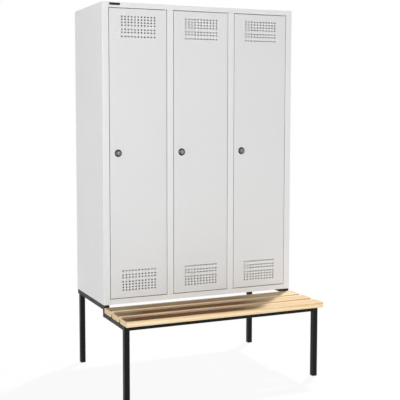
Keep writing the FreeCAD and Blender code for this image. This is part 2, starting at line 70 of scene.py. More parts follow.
# Camera, from a perspective fit of the cabinet's and the seat's edges
image_size = 400
sensor_width = 36.0
focal_pixels = 827.3
principal_pixel = (150, 180)
camera_azimuth = math.radians(-22.11)
camera_pitch = math.radians(4.386)
camera_roll = math.radians(-0.177)
camera_distance = 4.6363
camera_height = 1.4966
aim_x = -0.3173

# Stage and light; the floor's white rises to full between two distances from the middle
floor_size = 40.0
floor_drop = 0.0005
floor_white = (243, 243, 243)
floor_throw = (203, 203, 203)
floor_glow_near = 0.93
floor_glow_from = 1.0
floor_glow_to = 3.2
world_light = 0.04
lamp_aim = (0.0, 0.0, 1.1)
lamps = {
    "key": {"place": (-10.3, -12.6, 2.3), "width": 8.0, "height": 2.6, "power": 2480.0},
    "top": {"place": (11.8, 9.8, 25.9), "width": 1.6, "height": 1.6, "power": 8500.0},
    "fill": {"place": (10.0, 7.0, 3.0), "width": 6.0, "height": 3.0, "power": 230.0},
}

# Colours
carcass_grey = (228, 228, 228)
door_grey = (222, 222, 222)
frame_black = (18, 18, 19)
wood_light = (255, 241, 209)
wood_dark = (238, 199, 146)
steel_grey = (196, 198, 200)
knob_grey = (130, 131, 133)
gunmetal = (82, 83, 86)
plastic_black = (22, 22, 23)
rubber_black = (38, 38, 38)

# Noise in the finishes: its scale per metre and its detail, and the range that most of it lies in
noise_spread = (0.3, 0.7)
coat_noise = {
    "cloud": (2.2, 3.0),
    "speckle": (260.0, 1.0),
    "wear": (35.0, 2.0),
    "smear": (9.0, 4.0),
    "peel": (420.0, 1.5),
    "grit": (1500.0, 1.0),
}
wood_noise = {"fibre": (900.0, 3.0), "board": (7.0, 3.0)}
metal_noise = {"cloud": (60.0, 4.0), "polish": (140.0, 3.0), "grain": (1.0, 2.0)}
moulded_noise = {"cloud": (40.0, 3.0), "polish": (90.0, 2.0)}
plastic_texture = (900.0, 2.0)
rubber_texture = (1500.0, 2.0)

# Powder coat; here and below, shades are shares of a colour, and relief is a depth and a strength
coat_clouds = (0.975, 1.02)
coat_speckle_most = 0.18
coat_speckle_shade = 0.94
coat_edge = 0.0012
coat_wear = (0.2, 0.8)
coat_peel_relief = (0.00005, 0.35)
coat_grit_relief = (0.00001, 0.3)
coat_ior = 1.5

# Painted shade in narrow gaps of the powder coats
crevice_shade_reach = 0.012
crevice_shade_open = (0.2, 0.62)
crevice_painted_shade = 0.3
crevice_shade_samples = 8

# Worn edges: cosine of the turn to a rounded normal, where wear starts and where it is full
edge_turn = (0.98, 0.8)
edge_samples = 4

# Lacquered wood; each board has its grain from another place and a slightly darker tint
ring_scale = 26.0
ring_distortion = 5.0
ring_detail = 2.0
ring_detail_scale = 1.2
ring_stretch = (0.05, 1.0, 1.0)
ring_band = (0.35, 1.0)
ring_most = 0.75
ring_relief = (0.00008, 0.25)
fibre_stretch = (0.012, 1.0, 1.0)
fibre_most = 0.25
fibre_shade = 0.8
fibre_relief = (0.00006, 0.4)
board_stretch = (0.12, 1.0, 1.0)
board_most = 0.4
board_shade = 1.08
end_grain_facing = (0.7, 1.0)
end_grain_most = 0.25
end_grain_shade = 0.85
wood_roughness = (0.4, 0.55)
wood_gloss = 0.04
wood_ior = 1.4
first_grain = (0.0, 0.0, -0.035)
next_grain = (0.37, 0.013, -0.011)
next_tint = 0.02

# Painted shadow of the cabinet on the slat tops, as shares of a slat's length and width off the shadow's
# middle
# The tint is linear: what is left of red, green and blue
painted_shadow_tint = (0.34, 0.165, 0.085, 1.0)
shadow_facing_up = (0.88, 0.99)
shadow_middle_across = 0.42
shadow_fade_across = (0.29, 0.4)
shadow_fade_along = (0.24, 0.42)
shadow_fade_ends = 0.22
shadow_ragged_edge = 0.03
# Strength and middle of the painted shadow for each slat; the middles step along so that its end slants
# like a cast shadow
slat_shadow_strength = {"slat_front": 1.0, "slat_middle": 1.0, "slat_rear": 0.6, "slat_battens": 0.0}
shadow_middle_along = {"slat_front": 0.32, "slat_middle": 0.38, "slat_rear": 0.43, "slat_battens": 0.5}

# Metals, plastic and rubber
metal_clouds = (0.86, 1.08)
metal_edge = 0.0006
metal_edge_shade = 1.15
metal_grain_relief = (0.00001, 0.3)
even_grain = (90, 90, 90)
drawn_grain = (30, 900, 900)
moulded_clouds = (0.8, 1.25)
moulded_edge = 0.0008
moulded_edge_shade = 1.9
moulded_gloss = 0.3
plastic_relief = (0.00003, 0.5)
rubber_relief = (0.00004, 0.5)

# Blank badge plate on the roof rail
badge_width = 0.062
badge_height = 0.013
badge_thickness = 0.0012
badge_left = 0.042
badge_drop = 0.011
badge_corner = 0.002
badge_corner_steps = 6
badge_bevel = 0.0004
badge_bevel_steps = 2
round_profile = 0.5

# Broken edges of solid pieces: width and steps by node
arris_angle = math.radians(60)
weld_distance = 0.00001
arrises = {
    "slat_front": (0.001, 2),
    "slat_middle": (0.001, 2),
    "slat_rear": (0.001, 2),
    "slat_battens": (0.0012, 2),
    "slat_spacers": (0.0016, 3),
    "tube_plugs": (0.0007, 2),
    "door_buffers": (0.0012, 3),
}

# Seat screws, with a cross recess in a pan head
# The head's outline is in shares of its radius and height
screw_shank = 0.0023
screw_point = 4 * screw_shank
screw_point_waist = 0.6
screw_head_radius = 0.005
screw_head_height = 0.0025
screw_head_outline = ((0.97, 1.0), (1.0, 0.75), (0.93, 0.35), (0.8, 0.1))
screw_flat = 0.0034
cross_arm = 0.0022
cross_width = 0.0006
cross_depth = 0.0014
cross_taper = 0.7

# Cabinet bolts
bolt_shank = 0.004
bolt_hex = 0.0074
bolt_hex_chamfer = 0.0009
bolt_head_height = 0.005
bolt_washer = 0.0085
bolt_washer_height = 0.0012
disc_edge = 0.0003

# Door pivots
pin_shank = 0.003
pin_head = 0.0045
pin_head_height = 0.003
pin_collar = 0.0048
pin_collar_height = 0.0018
pin_edge = 0.0004
door_wall = 0.001
bush_bore = 0.00305
bush_sleeve = 0.0041
bush_flange = 0.0056
bush_flange_height = 0.001

# Rotary locks, in millimetres
lock_round = 48
rosette_profile = (
    (21.0, 0.0), (21.0, 0.7), (20.6, 1.2), (19.2, 2.5), (18.2, 3.5), (17.5, 3.9),
    (16.8, 4.0), (15.4, 4.0), (14.8, 3.8), (14.4, 3.2), (13.8, 3.0), (4.35, 3.0),
)
barrel_radius = 7.9
thread_radius = 7.3
thread_start = 2.0
thread_pitch = 1.5
thread_turns = 9
barrel_end = 20.0
barrel_bore = 4.35
lock_nut_hex = 13.6
lock_nut_hole = 8.4
lock_nut_front = 16.0
lock_nut_back = 19.4
lock_nut_chamfer = 1.0
lock_nut_chamfer_rise = 0.5
knob_profile = (
    (0.0, 4.3), (12.2, 4.3), (12.8, 4.6), (13.0, 5.2), (13.0, 7.2), (12.8, 7.8),
    (12.2, 8.2), (11.6, 8.3), (0.0, 8.3),
)
grip_half_length = 11.8
grip_top_half = 10.2
grip_foot = 7.8
grip_top = 18.3
grip_shoulder = 3.0
grip_corner_steps = 5
grip_thickness = 9.0
grip_edge = 1.2
grip_edge_steps = 2
grip_hole = 3.5
grip_hole_height = 13.3
spindle_half = 3.0
spindle_chamfer = 0.8
spindle_overlap = 0.5

# Weld beads in the inner corners of the frame
bead_radius = 0.0026
bead_ripple = 0.22
bead_pitch = 0.0034
bead_rings = 4
bead_sides = 10
bead_inset = 0.0035

# All new meshes
smooth_angle = math.radians(38)
round_steps = 24
hexagon_sides = 6
square_sides = 4
place_digits = 4
millimetre = 0.001
upwards = (0, 0, 1)
outwards = (0, -1, 0)


# Node helpers

def linear(colour):
    # The usual screen curve, from 8-bit values to linear light.
    channels = [value / 255 for value in colour]
    curve = [c / 12.92 if c <= 0.04045 else ((c + 0.055) / 1.055) ** 2.4 for c in channels]
    return (*curve, 1.0)


def shade(colour, factor):
    red, green, blue, alpha = linear(colour)
    return (red * factor, green * factor, blue * factor, alpha)


class Shader:
    """A new material with its principled shader, and short ways to add and join nodes."""

    def __init__(self, name):
        self.material = bpy.data.materials.new(name)
        self.material.use_nodes = True
        self.tree = self.material.node_tree
        self.bsdf = self.tree.nodes["Principled BSDF"]
        places = self.add("ShaderNodeTexCoord").outputs
        self.coordinates = places["Object"]
        self.shares = places["Generated"]

    def add(self, kind, **settings):
        node = self.tree.nodes.new(kind)
        for key, value in settings.items():
            setattr(node, key, value)
        return node

    def join(self, output, socket):
        self.tree.links.new(output, socket)

    def constants(self, **values):
        for name, value in values.items():
            self.bsdf.inputs[name.replace("_", " ")].default_value = value

    def scaled(self, scale, offset=(0, 0, 0)):
        mapping = self.add("ShaderNodeMapping")
        mapping.inputs["Scale"].default_value = scale
        mapping.inputs["Location"].default_value = offset
        self.join(self.coordinates, mapping.inputs["Vector"])
        return mapping.outputs["Vector"]

    def noise(self, scale, detail, vector=None):
        node = self.add("ShaderNodeTexNoise")
        node.inputs["Scale"].default_value = scale
        node.inputs["Detail"].default_value = detail
        self.join(vector or self.coordinates, node.inputs["Vector"])
        return node.outputs["Fac"]

    def ranged(self, value, low, high, from_low=noise_spread[0], from_high=noise_spread[1]):
        node = self.add("ShaderNodeMapRange")
        limits = {"From Min": from_low, "From Max": from_high, "To Min": low, "To Max": high}
        for name, number in limits.items():
            node.inputs[name].default_value = number
        self.join(value, node.inputs["Value"])
        return node.outputs["Result"]

    def blended(self, factor, first, second, mode="MIX"):
        node = self.add("ShaderNodeMix", data_type="RGBA", blend_type=mode)
        sockets = {socket.identifier: socket for socket in node.inputs}
        for socket, value in (
            (sockets["Factor_Float"], factor),
            (sockets["A_Color"], first),
            (sockets["B_Color"], second),
        ):
            if isinstance(value, bpy.types.NodeSocket):
                self.join(value, socket)
            else:
                socket.default_value = value
        return {socket.identifier: socket for socket in node.outputs}["Result_Color"]

    def calculated(self, operation, *values):
        node = self.add("ShaderNodeMath", operation=operation)
        for socket, value in zip(node.inputs, values):
            if isinstance(value, bpy.types.NodeSocket):
                self.join(value, socket)
            else:
                socket.default_value = value
        return node.outputs["Value"]

    def off_shadow_middle(self, axis, place, ragged):
        # Distance from the middle of the painted shadow along an axis, as a share of the object's box.
        split = self.add("ShaderNodeSeparateXYZ")
        self.join(self.shares, split.inputs["Vector"])
        offset = self.calculated("SUBTRACT", split.outputs[axis], place)
        return self.calculated("ADD", self.calculated("ABSOLUTE", offset), ragged)

    def edges(self, radius):
        # 0 on flat faces, rising to 1 along sharp edges.
        bevel = self.add("ShaderNodeBevel", samples=edge_samples)
        bevel.inputs["Radius"].default_value = radius
        geometry = self.add("ShaderNodeNewGeometry")
        dot = self.add("ShaderNodeVectorMath", operation="DOT_PRODUCT")
        self.join(bevel.outputs["Normal"], dot.inputs[0])
        self.join(geometry.outputs["True Normal"], dot.inputs[1])
        return self.ranged(dot.outputs["Value"], 0.0, 1.0, *edge_turn)

    def painted_crevice_shade(self):
        # 0 on open faces, rising to 1 deep in gaps that are narrower than the reach; used as painted
        # shade.
        occlusion = self.add("ShaderNodeAmbientOcclusion", samples=crevice_shade_samples)
        occlusion.inputs["Distance"].default_value = crevice_shade_reach
        return self.ranged(occlusion.outputs["AO"], 1.0, 0.0, *crevice_shade_open)

    def bumped(self, *layers):
        # Each layer is a height, its depth in metres and its strength.
        normal = None
        for height, depth, strength in layers:
            bump = self.add("ShaderNodeBump")
            bump.inputs["Distance"].default_value = depth
            bump.inputs["Strength"].default_value = strength
            self.join(height, bump.inputs["Height"])
            if normal:
                self.join(normal, bump.inputs["Normal"])
            normal = bump.outputs["Normal"]
        self.join(normal, self.bsdf.inputs["Normal"])

    def finish(self, colour, roughness):
        self.join(colour, self.bsdf.inputs["Base Color"])
        self.join(roughness, self.bsdf.inputs["Roughness"])
        return self.material


# Materials

def clouded(shader, noise, colour, shades):
    # A colour that drifts between two of its shades.
    dark, light = shades
    return shader.blended(shader.noise(*noise), shade(colour, dark), shade(colour, light))


def powder_coat(name, colour, roughness, gloss, edge_shade):
    # Satin stoved paint: fine orange peel, faint clouding, painted shade in the gaps,
    # and edges where the coat runs thin.
    shader = Shader(name)
    body = clouded(shader, coat_noise["cloud"], colour, coat_clouds)
    speckle = shader.ranged(shader.noise(*coat_noise["speckle"]), 0.0, coat_speckle_most)
    body = shader.blended(speckle, body, shade(colour, coat_speckle_shade))
    patches = shader.ranged(shader.noise(*coat_noise["wear"]), *coat_wear)
    worn = shader.calculated("MULTIPLY", shader.edges(coat_edge), patches)
    body = shader.blended(worn, body, shade(colour, edge_shade))
    # Painted shade: the coat darkens deep in narrow gaps between parts
    body = shader.blended(shader.painted_crevice_shade(), body, shade(colour, crevice_painted_shade))
    smear = shader.ranged(shader.noise(*coat_noise["smear"]), *roughness)
    peel = shader.noise(*coat_noise["peel"])
    grit = shader.noise(*coat_noise["grit"])
    shader.bumped((peel, *coat_peel_relief), (grit, *coat_grit_relief))
    shader.constants(IOR=coat_ior, Specular_IOR_Level=gloss)
    return shader.finish(body, smear)


def lacquered_wood(name, offset, tint, shadow_strength, shadow_middle):
    # Growth rings run along X under a clear dull lacquer.
    # The tops carry a painted shadow of the cabinet between their edges.
    shader = Shader(name)
    rings = shader.add("ShaderNodeTexWave", wave_type="RINGS", rings_direction="X")
    rings.inputs["Scale"].default_value = ring_scale
    rings.inputs["Distortion"].default_value = ring_distortion
    rings.inputs["Detail"].default_value = ring_detail
    rings.inputs["Detail Scale"].default_value = ring_detail_scale
    shader.join(shader.scaled(ring_stretch, offset), rings.inputs["Vector"])
    fibre = shader.noise(*wood_noise["fibre"], vector=shader.scaled(fibre_stretch, offset))
    board = shader.noise(*wood_noise["board"], vector=shader.scaled(board_stretch, offset))
    band = shader.ranged(rings.outputs["Fac"], 0.0, ring_most, *ring_band)
    colour = shader.blended(band, shade(wood_light, tint), shade(wood_dark, tint))
    patches = shader.ranged(board, 0.0, board_most)
    colour = shader.blended(patches, colour, shade(wood_dark, tint * board_shade))
    streaks = shader.ranged(fibre, 0.0, fibre_most)
    colour = shader.blended(streaks, colour, shade(wood_dark, tint * fibre_shade))
    geometry = shader.add("ShaderNodeNewGeometry")
    facing = shader.add("ShaderNodeSeparateXYZ")
    shader.join(geometry.outputs["Normal"], facing.inputs["Vector"])
    endwise = shader.calculated("ABSOLUTE", facing.outputs["X"])
    end_grain = shader.ranged(endwise, 0.0, end_grain_most, *end_grain_facing)
    colour = shader.blended(end_grain, colour, shade(wood_dark, tint * end_grain_shade))
    topside = shader.ranged(facing.outputs["Z"], 0.0, shadow_strength, *shadow_facing_up)
    ragged = shader.ranged(board, -shadow_ragged_edge, shadow_ragged_edge)
    off_middle = shader.off_shadow_middle("Y", shadow_middle_across, ragged)
    across = shader.ranged(off_middle, 1.0, 0.0, *shadow_fade_across)
    off_place = shader.off_shadow_middle("X", shadow_middle, ragged)
    along = shader.ranged(off_place, 1.0, shadow_fade_ends, *shadow_fade_along)
    place = shader.calculated("MULTIPLY", across, along)
    painted_shadow = shader.calculated("MULTIPLY", topside, place)
    # Painted shadow of the cabinet, multiplied into the wood colour of the tops
    colour = shader.blended(painted_shadow, colour, painted_shadow_tint, mode="MULTIPLY")
    roughness = shader.ranged(fibre, *wood_roughness)
    shader.bumped((rings.outputs["Fac"], *ring_relief), (fibre, *fibre_relief))
    shader.constants(IOR=wood_ior, Specular_IOR_Level=wood_gloss)
    return shader.finish(colour, roughness)


def bright_metal(name, colour, roughness, grain):
    # Clouded plating with a fine grain and polished edges.
    shader = Shader(name)
    body = clouded(shader, metal_noise["cloud"], colour, metal_clouds)
    body = shader.blended(shader.edges(metal_edge), body, shade(colour, metal_edge_shade))
    polish = shader.ranged(shader.noise(*metal_noise["polish"]), *roughness)
    lines = shader.noise(*metal_noise["grain"], vector=shader.scaled(grain))
    shader.bumped((lines, *metal_grain_relief))
    shader.constants(Metallic=1.0)
    return shader.finish(body, polish)


def moulded(name, colour, roughness, texture, relief):
    # Plastic or rubber with a fine mould texture and rubbed edges.
    shader = Shader(name)
    body = clouded(shader, moulded_noise["cloud"], colour, moulded_clouds)
    body = shader.blended(shader.edges(moulded_edge), body, shade(colour, moulded_edge_shade))
    polish = shader.ranged(shader.noise(*moulded_noise["polish"]), *roughness)
    shader.bumped((shader.noise(*texture), *relief))
    shader.constants(Specular_IOR_Level=moulded_gloss)
    return shader.finish(body, polish)


def stage_floor_material():
    # White to the eye with a faint shadow, plain matt for the light that it throws back.
    shader = Shader("stage_floor")
    shader.constants(Roughness=1.0, Specular_IOR_Level=0.0)
    glow = shader.add("ShaderNodeEmission")
    distance = shader.add("ShaderNodeVectorMath", operation="LENGTH")
    shader.join(shader.coordinates, distance.inputs[0])
    place = distance.outputs["Value"]
    brightness = shader.ranged(place, floor_glow_near, 1.0, floor_glow_from, floor_glow_to)
    path = shader.add("ShaderNodeLightPath").outputs
    seen = shader.calculated("MAXIMUM", path["Is Camera Ray"], path["Is Glossy Ray"])
    seen = shader.calculated("MAXIMUM", seen, path["Is Transmission Ray"])
    tone = shader.blended(seen, linear(floor_throw), linear(floor_white))
    shader.join(tone, shader.bsdf.inputs["Base Color"])
    share = shader.calculated("MULTIPLY", seen, brightness)
    mix = shader.add("ShaderNodeMixShader")
    shader.join(share, mix.inputs["Fac"])
    shader.join(shader.bsdf.outputs["BSDF"], mix.inputs[1])
    shader.join(glow.outputs["Emission"], mix.inputs[2])
    output = shader.tree.nodes["Material Output"]
    shader.join(mix.outputs["Shader"], output.inputs["Surface"])
    return shader.material


def paint(names, material):
    for name in names:
        mesh = nodes[name].data
        mesh.materials.clear()
        mesh.materials.append(material)


def nodes_in_slot(slot):
    return [part["node"] for part in frame["record"]["subparts"] if part["material_slot"] == slot]


def make_finishes():
    grey_gloss = {"roughness": (0.36, 0.5), "gloss": 0.5, "edge_shade": 1.05}
    black_gloss = {"roughness": (0.34, 0.5), "gloss": 0.14, "edge_shade": 2.2}
    plastic_skin = {"roughness": (0.42, 0.6), "texture": plastic_texture, "relief": plastic_relief}
    rubber_skin = {"roughness": (0.7, 0.9), "texture": rubber_texture, "relief": rubber_relief}
    return {
        "carcass": powder_coat("carcass_coat", carcass_grey, **grey_gloss),
        "door": powder_coat("door_coat", door_grey, **grey_gloss),
        "frame": powder_coat("frame_coat", frame_black, **black_gloss),
        "knob": bright_metal("satin_nickel", knob_grey, roughness=(0.28, 0.42), grain=even_grain),
        "lock": bright_metal("gunmetal", gunmetal, roughness=(0.2, 0.34), grain=even_grain),
        "zinc": bright_metal("zinc", steel_grey, roughness=(0.28, 0.45), grain=drawn_grain),
        "plastic": moulded("black_plastic", plastic_black, **plastic_skin),
        "rubber": moulded("rubber", rubber_black, **rubber_skin),
    }


def paint_frame(finishes):
    grey = nodes_in_slot("grey_coat")
    paint(grey, finishes["carcass"])
    paint([name for name in grey if name.startswith("door_")], finishes["door"])
    paint(nodes_in_slot("black_coat"), finishes["frame"])
    paint(nodes_in_slot("lock_metal"), finishes["lock"])
    paint(nodes_in_slot("zinc_steel"), finishes["zinc"])
    paint(nodes_in_slot("black_plastic"), finishes["plastic"])
    paint(nodes_in_slot("rubber"), finishes["rubber"])
    for number, name in enumerate(nodes_in_slot("seat_wood")):
        offset = [first + step * number for first, step in zip(first_grain, next_grain)]
        tint = 1.0 - next_tint * number
        wood = lacquered_wood(name + "_wood", offset, tint, slat_shadow_strength[name], shadow_middle_along[name])
        paint([name], wood)


def break_edges():
    for name, (width, steps) in arrises.items():
        weld = nodes[name].modifiers.new("weld", "WELD")
        weld.merge_threshold = weld_distance
        bevel = nodes[name].modifiers.new("arris", "BEVEL")
        bevel.width = width
        bevel.segments = steps
        bevel.limit_method = "ANGLE"
        bevel.angle_limit = arris_angle
        bevel.harden_normals = True


# Mesh helpers

def solids(name):
    # Boxes of a node's separate solids, from left to right, then front to back.
    shape = bmesh.new()
    shape.from_mesh(nodes[name].data)
    bmesh.ops.remove_doubles(shape, verts=shape.verts, dist=weld_distance)
    waiting = set(shape.verts)
    boxes = []
    while waiting:
        group = [waiting.pop()]
        for vert in group:
            linked = [edge.other_vert(vert) for edge in vert.link_edges]
            fresh = [other for other in linked if other in waiting]
            waiting.difference_update(fresh)
            group.extend(fresh)
        low = Vector([min(vert.co[axis] for vert in group) for axis in range(3)])
        high = Vector([max(vert.co[axis] for vert in group) for axis in range(3)])
        boxes.append((low, high))
    shape.free()
    return sorted(boxes, key=lambda box: [round(value, place_digits) for value in box[0]])


def foot(low, high):
    # The middle of a box's underside.
    middle = (low + high) / 2
    return Vector((middle.x, middle.y, low.z))


def turned(shape, profile, base, axis, steps=round_steps, closed=False, start=0.0):
    # Turns (radius, height) points about an axis and gives back the last ring.
    # A radius of 0 closes an end.
    spin = Vector(upwards).rotation_difference(Vector(axis))
    rings = []
    for radius, height in profile:
        count = steps if radius > 0 else 1
        angles = [start + 2 * math.pi * n / steps for n in range(count)]
        local = [Vector((radius * math.cos(a), radius * math.sin(a), height)) for a in angles]
        rings.append([shape.verts.new(Vector(base) + spin @ point) for point in local])
    following = rings[1:] + rings[:1] if closed else rings[1:]
    for lower, upper in zip(rings, following):
        for n in range(steps):
            after = (n + 1) % steps
            corners = [
                lower[n % len(lower)],
                lower[after % len(lower)],
                upper[after % len(upper)],
                upper[n % len(upper)],
            ]
            shape.faces.new(list(dict.fromkeys(corners)))
    return rings[-1]


def finished_mesh(name, shape):
    bmesh.ops.recalc_face_normals(shape, faces=shape.faces)
    for face in shape.faces:
        face.smooth = True
    mesh = bpy.data.meshes.new(name)
    shape.to_mesh(mesh)
    shape.free()
    mesh.set_sharp_from_angle(angle=smooth_angle)
    return mesh


def new_piece(name, mesh, body, material, replaced=()):
    piece = bpy.data.objects.new(name, mesh)
    bpy.context.scene.collection.objects.link(piece)
    mesh.materials.append(material)
    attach(piece, body)
    if replaced:
        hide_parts(*replaced)
    return piece


def in_metres(profile):
    return [(radius * millimetre, height * millimetre) for radius, height in profile]


# Pieces

def badge_plate(material):
    # A blank plate with rounded corners on the left of the roof rail.
    low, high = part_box("roof_panel")
    shape = bmesh.new()
    half = Vector((badge_width / 2 - badge_corner, badge_height / 2 - badge_corner))
    outline = []
    for turn, (across, up) in enumerate(((1, 1), (-1, 1), (-1, -1), (1, -1))):
        for step in range(badge_corner_steps + 1):
            angle = math.pi / 2 * (turn + step / badge_corner_steps)
            x = across * half.x + badge_corner * math.cos(angle)
            z = up * half.y + badge_corner * math.sin(angle)
            outline.append(shape.verts.new((x, 0, z)))
    face = shape.faces.new(outline)
    raised = bmesh.ops.extrude_face_region(shape, geom=[face])
    moved = [item for item in raised["geom"] if isinstance(item, bmesh.types.BMVert)]
    bmesh.ops.translate(shape, verts=moved, vec=(0, -badge_thickness, 0))
    rim = [edge for edge in shape.edges if all(vert in moved for vert in edge.verts)]
    bmesh.ops.bevel(
        shape,
        geom=rim,
        offset=badge_bevel,
        segments=badge_bevel_steps,
        profile=round_profile,
        affect="EDGES",
    )
    place = Vector((low.x + badge_left + badge_width / 2, low.y, high.z - badge_drop))
    bmesh.ops.translate(shape, verts=shape.verts, vec=place)
    mesh = finished_mesh("badge_plate", shape)
    new_piece("badge_plate", mesh, "cabinet", material)


def cross_recess(shape, rim, centre):
    # Fills a round rim around a cross and sinks the cross into the head.
    long, short = cross_arm, cross_width
    corners = (
        (short, short), (short, long), (-short, long),
        (-short, short), (-long, short), (-long, -short),
        (-short, -short), (-short, -long), (short, -long),
        (short, -short), (long, -short), (long, short),
    )
    mouth = [shape.verts.new(centre + Vector((x, y, 0))) for x, y in corners]
    sunk = Vector((0, 0, cross_depth))
    bottom = [shape.verts.new(centre + Vector((x, y, 0)) * cross_taper + sunk) for x, y in corners]
    loops = []
    for loop in (rim, mouth):
        for first, second in zip(loop, loop[1:] + loop[:1]):
            loops.append(shape.edges.get((first, second)) or shape.edges.new((first, second)))
    bmesh.ops.triangle_fill(shape, edges=loops, use_beauty=True)
    for n, vert in enumerate(mouth):
        after = (n + 1) % len(mouth)
        shape.faces.new((vert, mouth[after], bottom[after], bottom[n]))
    shape.faces.new(bottom)


def seat_screws(material):
    # Pan heads under the battens and the seat arms, with pointed shanks up into the slats.
    shape = bmesh.new()
    head = [(screw_head_radius * out, screw_head_height * up) for out, up in screw_head_outline]
    for low, high in solids("slat_screws"):
        base = foot(low, high)
        length = high.z - low.z
        profile = (
            (0, length),
            (screw_shank * screw_point_waist, length - screw_point / 2),
            (screw_shank, length - screw_point),
            (screw_shank, screw_head_height),
            *head,
            (screw_flat, 0),
        )
        rim = turned(shape, profile, base, upwards)
        cross_recess(shape, rim, base)
    mesh = finished_mesh("seat_screws", shape)
    new_piece("seat_screws", mesh, "cabinet", material, ["slat_screws"])


def hexagon(low, high):
    # Profile of a chamfered bolt head or nut.
    narrow = bolt_hex - bolt_hex_chamfer
    rise = bolt_hex_chamfer / 2
    return (
        (0, low), (narrow, low), (bolt_hex, low + rise),
        (bolt_hex, high - rise), (narrow, high), (0, high),
    )


def disc(radius, low, high):
    # Profile of a washer or shank with broken edges.
    inner = radius - disc_edge
    return (
        (0, low), (inner, low), (radius, low + disc_edge),
        (radius, high - disc_edge), (inner, high), (0, high),
    )


def frame_bolts(material):
    # Hexagon head and washer under the rail, nut and washer on the cabinet's floor.
    shape = bmesh.new()
    rail_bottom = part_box("upper_rail_left")[0].z
    for low, high in solids("cabinet_bolts"):
        base = foot(low, high)
        length = high.z - low.z
        washer_top = rail_bottom - low.z
        head_top = washer_top - bolt_washer_height
        nut_top = length - bolt_washer_height
        nut_bottom = nut_top - bolt_head_height + bolt_washer_height
        turned(shape, hexagon(0, head_top), base, upwards, steps=hexagon_sides)
        turned(shape, disc(bolt_washer, head_top, washer_top), base, upwards)
        turned(shape, disc(bolt_shank, head_top, length), base, upwards)
        turned(shape, hexagon(nut_bottom, nut_top), base, upwards, steps=hexagon_sides)
        turned(shape, disc(bolt_washer, nut_bottom - bolt_washer_height, nut_bottom), base, upwards)
    mesh = finished_mesh("frame_bolts", shape)
    new_piece("frame_bolts", mesh, "cabinet", material, ["cabinet_bolts"])


def pivots(node):
    # Base, direction and length of a node's upright solids, pointing up above its middle and down below.
    boxes = solids(node)
    middle_z = sum(low.z + high.z for low, high in boxes) / (2 * len(boxes))
    for low, high in boxes:
        middle = (low + high) / 2
        upper = middle.z > middle_z
        base = Vector((middle.x, middle.y, low.z if upper else high.z))
        yield base, (0, 0, 1 if upper else -1), high.z - low.z


def pivot_pins(name, material):
    # A headed pin with a collar at the door's upper and lower corner.
    node = "hinge_pins_" + name
    shape = bmesh.new()
    collar = pin_head_height + door_wall
    collar_end = collar + pin_collar_height
    for base, direction, length in pivots(node):
        profile = (
            (0, 0),
            (pin_head - pin_edge, 0),
            (pin_head, pin_edge),
            (pin_head, pin_head_height),
            (pin_shank, pin_head_height),
            (pin_shank, collar),
            (pin_collar, collar),
            (pin_collar, collar_end - pin_edge),
            (pin_collar - pin_edge, collar_end),
            (pin_shank, collar_end),
            (pin_shank, length - 2 * pin_edge),
            (pin_shank - 2 * pin_edge, length),
            (0, length),
        )
        turned(shape, profile, base, direction)
    mesh = finished_mesh("pivot_pins_" + name, shape)
    new_piece("pivot_pins_" + name, mesh, "door_" + name, material, [node])


def pivot_bushes(material):
    # Flanged bushes in the cabinet that the pins turn in.
    shape = bmesh.new()
    for base, direction, length in pivots("hinge_bushes"):
        profile = (
            (bush_bore, 0),
            (bush_flange - pin_edge, 0),
            (bush_flange, pin_edge),
            (bush_flange, bush_flange_height),
            (bush_sleeve, bush_flange_height),
            (bush_sleeve, length - pin_edge),
            (bush_sleeve - pin_edge, length),
            (bush_bore, length),
        )
        turned(shape, profile, base, direction, closed=True)
    mesh = finished_mesh("pivot_bushes", shape)
    new_piece("pivot_bushes", mesh, "cabinet", material, ["hinge_bushes"])


def lock_axis(name):
    # Where the lock's axis meets the front of the door's skin.
    low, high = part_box("lock_knob_" + name)
    middle = (low + high) / 2
    return Vector((middle.x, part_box("door_panel_" + name)[0].y, middle.z))


def lock_case(name, material):
    # Turned rosette, threaded barrel through the door and a hexagon nut behind it.
    shape = bmesh.new()
    base = lock_axis(name)
    barrel = [(barrel_radius, 0.0), (barrel_radius, -thread_start)]
    for turn in range(thread_turns):
        top = -thread_start - thread_pitch * turn
        barrel += [(thread_radius, top - thread_pitch / 2), (barrel_radius, top - thread_pitch)]
    barrel += [(barrel_radius, -barrel_end), (barrel_bore, -barrel_end)]
    profile = in_metres(list(reversed(rosette_profile)) + barrel)
    turned(shape, profile, base, outwards, steps=lock_round, closed=True)
    nut = (
        (lock_nut_hole, -lock_nut_front),
        (lock_nut_hex, -lock_nut_front),
        (lock_nut_hex, -lock_nut_back + lock_nut_chamfer_rise),
        (lock_nut_hex - lock_nut_chamfer, -lock_nut_back),
        (lock_nut_hole, -lock_nut_back),
    )
    turned(shape, in_metres(nut), base, outwards, steps=hexagon_sides, closed=True)
    mesh = finished_mesh("lock_case_" + name, shape)
    replaced = ["lock_body_" + name]
    new_piece("lock_case_" + name, mesh, "door_" + name, material, replaced)


